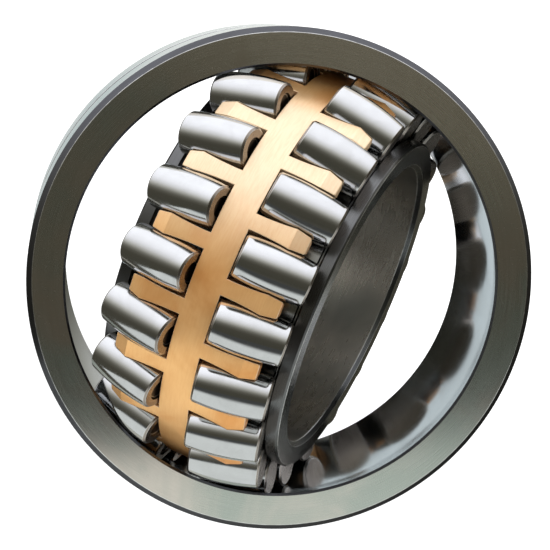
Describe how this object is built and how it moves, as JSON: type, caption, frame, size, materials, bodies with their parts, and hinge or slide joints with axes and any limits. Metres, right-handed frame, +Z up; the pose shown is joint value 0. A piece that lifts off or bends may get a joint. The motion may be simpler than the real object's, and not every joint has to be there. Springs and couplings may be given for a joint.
{
  "type": "spherical roller bearing",
  "caption": "Self-aligning spherical roller bearing: barrel rollers in a machined brass cage on a ribbed inner ring, swung out of a spherical outer ring.",
  "frame": {"origin": "the centre of the spherical raceway, which is the centre of both rings", "axes": "+Y along the outer ring's axis from its front face to its rear face, +Z up along the swivel axis, +X to the right seen from the front"},
  "size_m": [0.28, 0.2587, 0.28],
  "materials": {
    "outer_ring_steel": "ground through-hardened bearing steel, satin, with fine circular grinding lines",
    "inner_ring_steel": "ground through-hardened bearing steel, satin",
    "guide_ring_steel": "turned and ground steel, satin",
    "cage_brass": "fine-turned solid brass, satin, with milled pockets",
    "roller_steel": "superfinished bearing steel, near mirror"
  },
  "bodies": {
    "outer_ring": {"outer_ring": "outer_ring_steel"},
    "inner_ring": {"inner_ring": "inner_ring_steel"},
    "guide_ring": {"guide_ring": "guide_ring_steel"},
    "cage": {"cage": "cage_brass"},
    "roller_front_01": {"roller_front_01": "roller_steel"},
    "roller_front_02": {"roller_front_02": "roller_steel"},
    "roller_front_03": {"roller_front_03": "roller_steel"},
    "roller_front_04": {"roller_front_04": "roller_steel"},
    "roller_front_05": {"roller_front_05": "roller_steel"},
    "roller_front_06": {"roller_front_06": "roller_steel"},
    "roller_front_07": {"roller_front_07": "roller_steel"},
    "roller_front_08": {"roller_front_08": "roller_steel"},
    "roller_front_09": {"roller_front_09": "roller_steel"},
    "roller_front_10": {"roller_front_10": "roller_steel"},
    "roller_front_11": {"roller_front_11": "roller_steel"},
    "roller_front_12": {"roller_front_12": "roller_steel"},
    "roller_front_13": {"roller_front_13": "roller_steel"},
    "roller_front_14": {"roller_front_14": "roller_steel"},
    "roller_front_15": {"roller_front_15": "roller_steel"},
    "roller_front_16": {"roller_front_16": "roller_steel"},
    "roller_front_17": {"roller_front_17": "roller_steel"},
    "roller_front_18": {"roller_front_18": "roller_steel"},
    "roller_front_19": {"roller_front_19": "roller_steel"},
    "roller_front_20": {"roller_front_20": "roller_steel"},
    "roller_rear_01": {"roller_rear_01": "roller_steel"},
    "roller_rear_02": {"roller_rear_02": "roller_steel"},
    "roller_rear_03": {"roller_rear_03": "roller_steel"},
    "roller_rear_04": {"roller_rear_04": "roller_steel"},
    "roller_rear_05": {"roller_rear_05": "roller_steel"},
    "roller_rear_06": {"roller_rear_06": "roller_steel"},
    "roller_rear_07": {"roller_rear_07": "roller_steel"},
    "roller_rear_08": {"roller_rear_08": "roller_steel"},
    "roller_rear_09": {"roller_rear_09": "roller_steel"},
    "roller_rear_10": {"roller_rear_10": "roller_steel"},
    "roller_rear_11": {"roller_rear_11": "roller_steel"},
    "roller_rear_12": {"roller_rear_12": "roller_steel"},
    "roller_rear_13": {"roller_rear_13": "roller_steel"},
    "roller_rear_14": {"roller_rear_14": "roller_steel"},
    "roller_rear_15": {"roller_rear_15": "roller_steel"},
    "roller_rear_16": {"roller_rear_16": "roller_steel"},
    "roller_rear_17": {"roller_rear_17": "roller_steel"},
    "roller_rear_18": {"roller_rear_18": "roller_steel"},
    "roller_rear_19": {"roller_rear_19": "roller_steel"},
    "roller_rear_20": {"roller_rear_20": "roller_steel"}
  },
  "joints": [
    {"name": "swivel", "type": "hinge", "parent": "outer_ring", "child": "guide_ring", "pos_m": [0, 0, 0], "axis": [0, 0, 1], "range_deg": [-67.34, 22.66]},
    {"name": "inner_spin", "type": "hinge", "parent": "guide_ring", "child": "inner_ring", "pos_m": [0, 0, 0], "axis": [0.9228, -0.3853, 0], "continuous": true},
    {"name": "cage_spin", "type": "hinge", "parent": "guide_ring", "child": "cage", "pos_m": [0, 0, 0], "axis": [0.9228, -0.3853, 0], "continuous": true},
    {"name": "roller_front_01_spin", "type": "hinge", "parent": "cage", "child": "roller_front_01", "pos_m": [0.06921, 0.09022, 0.02487], "axis": [0.7995, -0.5981, -0.0552], "continuous": true},
    {"name": "roller_front_02_spin", "type": "hinge", "parent": "cage", "child": "roller_front_02", "pos_m": [0.06417, 0.07817, 0.05762], "axis": [0.8107, -0.5713, -0.1278], "continuous": true},
    {"name": "roller_front_03_spin", "type": "hinge", "parent": "cage", "child": "roller_front_03", "pos_m": [0.05549, 0.05736, 0.08474], "axis": [0.83, -0.5252, -0.188], "continuous": true},
    {"name": "roller_front_04_spin", "type": "hinge", "parent": "cage", "child": "roller_front_04", "pos_m": [0.044, 0.02984, 0.10355], "axis": [0.8555, -0.4641, -0.2297], "continuous": true},
    {"name": "roller_front_05_spin", "type": "hinge", "parent": "cage", "child": "roller_front_05", "pos_m": [0.03083, -0.0017, 0.11223], "axis": [0.8847, -0.3942, -0.249], "continuous": true},
    {"name": "roller_front_06_spin", "type": "hinge", "parent": "cage", "child": "roller_front_06", "pos_m": [0.01727, -0.03417, 0.10992], "axis": [0.9147, -0.3222, -0.2438], "continuous": true},
    {"name": "roller_front_07_spin", "type": "hinge", "parent": "cage", "child": "roller_front_07", "pos_m": [0.00465, -0.06439, 0.09686], "axis": [0.9427, -0.2551, -0.2149], "continuous": true},
    {"name": "roller_front_08_spin", "type": "hinge", "parent": "cage", "child": "roller_front_08", "pos_m": [-0.0058, -0.08941, 0.07431], "axis": [0.9659, -0.1996, -0.1648], "continuous": true},
    {"name": "roller_front_09_spin", "type": "hinge", "parent": "cage", "child": "roller_front_09", "pos_m": [-0.01305, -0.10677, 0.04449], "axis": [0.982, -0.1611, -0.0987], "continuous": true},
    {"name": "roller_front_10_spin", "type": "hinge", "parent": "cage", "child": "roller_front_10", "pos_m": [-0.01639, -0.11478, 0.01031], "axis": [0.9894, -0.1433, -0.0229], "continuous": true},
    {"name": "roller_front_11_spin", "type": "hinge", "parent": "cage", "child": "roller_front_11", "pos_m": [-0.0155, -0.11265, -0.02487], "axis": [0.9874, -0.1481, 0.0552], "continuous": true},
    {"name": "roller_front_12_spin", "type": "hinge", "parent": "cage", "child": "roller_front_12", "pos_m": [-0.01047, -0.10059, -0.05762], "axis": [0.9763, -0.1748, 0.1278], "continuous": true},
    {"name": "roller_front_13_spin", "type": "hinge", "parent": "cage", "child": "roller_front_13", "pos_m": [-0.00178, -0.07979, -0.08474], "axis": [0.957, -0.221, 0.188], "continuous": true},
    {"name": "roller_front_14_spin", "type": "hinge", "parent": "cage", "child": "roller_front_14", "pos_m": [0.00971, -0.05227, -0.10355], "axis": [0.9315, -0.282, 0.2297], "continuous": true},
    {"name": "roller_front_15_spin", "type": "hinge", "parent": "cage", "child": "roller_front_15", "pos_m": [0.02288, -0.02073, -0.11223], "axis": [0.9023, -0.352, 0.249], "continuous": true},
    {"name": "roller_front_16_spin", "type": "hinge", "parent": "cage", "child": "roller_front_16", "pos_m": [0.03644, 0.01174, -0.10992], "axis": [0.8722, -0.424, 0.2438], "continuous": true},
    {"name": "roller_front_17_spin", "type": "hinge", "parent": "cage", "child": "roller_front_17", "pos_m": [0.04906, 0.04196, -0.09686], "axis": [0.8442, -0.491, 0.2149], "continuous": true},
    {"name": "roller_front_18_spin", "type": "hinge", "parent": "cage", "child": "roller_front_18", "pos_m": [0.0595, 0.06698, -0.07431], "axis": [0.8211, -0.5465, 0.1648], "continuous": true},
    {"name": "roller_front_19_spin", "type": "hinge", "parent": "cage", "child": "roller_front_19", "pos_m": [0.06675, 0.08434, -0.04449], "axis": [0.805, -0.585, 0.0987], "continuous": true},
    {"name": "roller_front_20_spin", "type": "hinge", "parent": "cage", "child": "roller_front_20", "pos_m": [0.0701, 0.09235, -0.01031], "axis": [0.7976, -0.6028, 0.0229], "continuous": true},
    {"name": "roller_rear_01_spin", "type": "hinge", "parent": "cage", "child": "roller_rear_01", "pos_m": [0.01648, 0.11499, 0.00737], "axis": [0.9896, -0.1429, 0.0164], "continuous": true},
    {"name": "roller_rear_02_spin", "type": "hinge", "parent": "cage", "child": "roller_rear_02", "pos_m": [0.01348, 0.10781, 0.04176], "axis": [0.983, -0.1588, 0.0926], "continuous": true},
    {"name": "roller_rear_03_spin", "type": "hinge", "parent": "cage", "child": "roller_rear_03", "pos_m": [0.00653, 0.09117, 0.07207], "axis": [0.9675, -0.1957, 0.1599], "continuous": true},
    {"name": "roller_rear_04_spin", "type": "hinge", "parent": "cage", "child": "roller_rear_04", "pos_m": [-0.00368, 0.06671, 0.09532], "axis": [0.9449, -0.25, 0.2114], "continuous": true},
    {"name": "roller_rear_05_spin", "type": "hinge", "parent": "cage", "child": "roller_rear_05", "pos_m": [-0.01616, 0.03681, 0.10924], "axis": [0.9172, -0.3163, 0.2423], "continuous": true},
    {"name": "roller_rear_06_spin", "type": "hinge", "parent": "cage", "child": "roller_rear_06", "pos_m": [-0.02969, 0.00441, 0.11246], "axis": [0.8872, -0.3882, 0.2495], "continuous": true},
    {"name": "roller_rear_07_spin", "type": "hinge", "parent": "cage", "child": "roller_rear_07", "pos_m": [-0.04294, -0.02733, 0.10468], "axis": [0.8578, -0.4586, 0.2322], "continuous": true},
    {"name": "roller_rear_08_spin", "type": "hinge", "parent": "cage", "child": "roller_rear_08", "pos_m": [-0.05462, -0.05529, 0.08665], "axis": [0.8319, -0.5206, 0.1922], "continuous": true},
    {"name": "roller_rear_09_spin", "type": "hinge", "parent": "cage", "child": "roller_rear_09", "pos_m": [-0.06358, -0.07674, 0.06014], "axis": [0.812, -0.5682, 0.1334], "continuous": true},
    {"name": "roller_rear_10_spin", "type": "hinge", "parent": "cage", "child": "roller_rear_10", "pos_m": [-0.06894, -0.08959, 0.02774], "axis": [0.8001, -0.5967, 0.0615], "continuous": true},
    {"name": "roller_rear_11_spin", "type": "hinge", "parent": "cage", "child": "roller_rear_11", "pos_m": [-0.07019, -0.09257, -0.00737], "axis": [0.7974, -0.6033, -0.0164], "continuous": true},
    {"name": "roller_rear_12_spin", "type": "hinge", "parent": "cage", "child": "roller_rear_12", "pos_m": [-0.06719, -0.08539, -0.04176], "axis": [0.804, -0.5873, -0.0926], "continuous": true},
    {"name": "roller_rear_13_spin", "type": "hinge", "parent": "cage", "child": "roller_rear_13", "pos_m": [-0.06024, -0.06875, -0.07207], "axis": [0.8194, -0.5504, -0.1599], "continuous": true},
    {"name": "roller_rear_14_spin", "type": "hinge", "parent": "cage", "child": "roller_rear_14", "pos_m": [-0.05003, -0.04428, -0.09532], "axis": [0.8421, -0.4962, -0.2114], "continuous": true},
    {"name": "roller_rear_15_spin", "type": "hinge", "parent": "cage", "child": "roller_rear_15", "pos_m": [-0.03754, -0.01439, -0.10924], "axis": [0.8698, -0.4299, -0.2423], "continuous": true},
    {"name": "roller_rear_16_spin", "type": "hinge", "parent": "cage", "child": "roller_rear_16", "pos_m": [-0.02401, 0.01801, -0.11246], "axis": [0.8998, -0.358, -0.2495], "continuous": true},
    {"name": "roller_rear_17_spin", "type": "hinge", "parent": "cage", "child": "roller_rear_17", "pos_m": [-0.01076, 0.04975, -0.10468], "axis": [0.9292, -0.2876, -0.2322], "continuous": true},
    {"name": "roller_rear_18_spin", "type": "hinge", "parent": "cage", "child": "roller_rear_18", "pos_m": [0.00092, 0.07772, -0.08665], "axis": [0.9551, -0.2256, -0.1922], "continuous": true},
    {"name": "roller_rear_19_spin", "type": "hinge", "parent": "cage", "child": "roller_rear_19", "pos_m": [0.00987, 0.09917, -0.06014], "axis": [0.975, -0.178, -0.1334], "continuous": true},
    {"name": "roller_rear_20_spin", "type": "hinge", "parent": "cage", "child": "roller_rear_20", "pos_m": [0.01524, 0.11201, -0.02774], "axis": [0.9868, -0.1495, -0.0615], "continuous": true}
  ],
  "couplings": [
    {"joint": "cage_spin", "follows": "inner_spin", "ratio": 0.44244},
    {"joint": "roller_front_01_spin", "follows": "inner_spin", "ratio": -4.1496},
    {"joint": "roller_front_02_spin", "follows": "inner_spin", "ratio": -4.1496},
    {"joint": "roller_front_03_spin", "follows": "inner_spin", "ratio": -4.1496},
    {"joint": "roller_front_04_spin", "follows": "inner_spin", "ratio": -4.1496},
    {"joint": "roller_front_05_spin", "follows": "inner_spin", "ratio": -4.1496},
    {"joint": "roller_front_06_spin", "follows": "inner_spin", "ratio": -4.1496},
    {"joint": "roller_front_07_spin", "follows": "inner_spin", "ratio": -4.1496},
    {"joint": "roller_front_08_spin", "follows": "inner_spin", "ratio": -4.1496},
    {"joint": "roller_front_09_spin", "follows": "inner_spin", "ratio": -4.1496},
    {"joint": "roller_front_10_spin", "follows": "inner_spin", "ratio": -4.1496},
    {"joint": "roller_front_11_spin", "follows": "inner_spin", "ratio": -4.1496},
    {"joint": "roller_front_12_spin", "follows": "inner_spin", "ratio": -4.1496},
    {"joint": "roller_front_13_spin", "follows": "inner_spin", "ratio": -4.1496},
    {"joint": "roller_front_14_spin", "follows": "inner_spin", "ratio": -4.1496},
    {"joint": "roller_front_15_spin", "follows": "inner_spin", "ratio": -4.1496},
    {"joint": "roller_front_16_spin", "follows": "inner_spin", "ratio": -4.1496},
    {"joint": "roller_front_17_spin", "follows": "inner_spin", "ratio": -4.1496},
    {"joint": "roller_front_18_spin", "follows": "inner_spin", "ratio": -4.1496},
    {"joint": "roller_front_19_spin", "follows": "inner_spin", "ratio": -4.1496},
    {"joint": "roller_front_20_spin", "follows": "inner_spin", "ratio": -4.1496},
    {"joint": "roller_rear_01_spin", "follows": "inner_spin", "ratio": -4.1496},
    {"joint": "roller_rear_02_spin", "follows": "inner_spin", "ratio": -4.1496},
    {"joint": "roller_rear_03_spin", "follows": "inner_spin", "ratio": -4.1496},
    {"joint": "roller_rear_04_spin", "follows": "inner_spin", "ratio": -4.1496},
    {"joint": "roller_rear_05_spin", "follows": "inner_spin", "ratio": -4.1496},
    {"joint": "roller_rear_06_spin", "follows": "inner_spin", "ratio": -4.1496},
    {"joint": "roller_rear_07_spin", "follows": "inner_spin", "ratio": -4.1496},
    {"joint": "roller_rear_08_spin", "follows": "inner_spin", "ratio": -4.1496},
    {"joint": "roller_rear_09_spin", "follows": "inner_spin", "ratio": -4.1496},
    {"joint": "roller_rear_10_spin", "follows": "inner_spin", "ratio": -4.1496},
    {"joint": "roller_rear_11_spin", "follows": "inner_spin", "ratio": -4.1496},
    {"joint": "roller_rear_12_spin", "follows": "inner_spin", "ratio": -4.1496},
    {"joint": "roller_rear_13_spin", "follows": "inner_spin", "ratio": -4.1496},
    {"joint": "roller_rear_14_spin", "follows": "inner_spin", "ratio": -4.1496},
    {"joint": "roller_rear_15_spin", "follows": "inner_spin", "ratio": -4.1496},
    {"joint": "roller_rear_16_spin", "follows": "inner_spin", "ratio": -4.1496},
    {"joint": "roller_rear_17_spin", "follows": "inner_spin", "ratio": -4.1496},
    {"joint": "roller_rear_18_spin", "follows": "inner_spin", "ratio": -4.1496},
    {"joint": "roller_rear_19_spin", "follows": "inner_spin", "ratio": -4.1496},
    {"joint": "roller_rear_20_spin", "follows": "inner_spin", "ratio": -4.1496}
  ]
}
